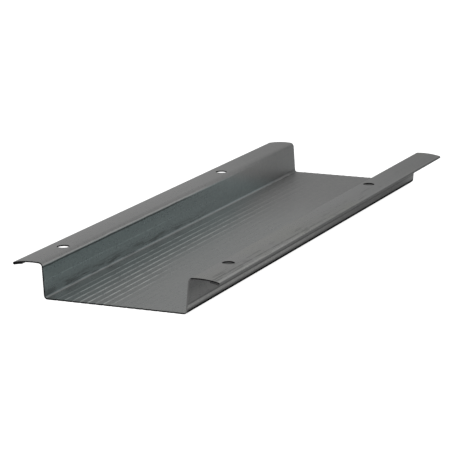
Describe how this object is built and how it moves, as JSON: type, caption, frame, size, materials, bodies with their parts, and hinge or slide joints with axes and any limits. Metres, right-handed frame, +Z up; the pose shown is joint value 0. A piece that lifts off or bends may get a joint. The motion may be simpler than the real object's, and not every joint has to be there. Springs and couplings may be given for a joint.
{
  "type": "hat channel",
  "caption": "Galvanised steel hat channel: a wide, finely beaded crown, low walls and hemmed flanges with screw holes, for framing a lining or ceiling.",
  "frame": {"origin": "on the crown's underside, in the middle of the width and of the length", "axes": "+X across the section, +Y along the length away from the end with the nearer holes, +Z up from the crown to the flanges"},
  "size_m": [0.0982, 0.3, 0.0165],
  "materials": {
    "galvanised_steel": "bare galvanised sheet, satin"
  },
  "bodies": {
    "root": {"hat_channel": "galvanised_steel"}
  },
  "joints": []
}
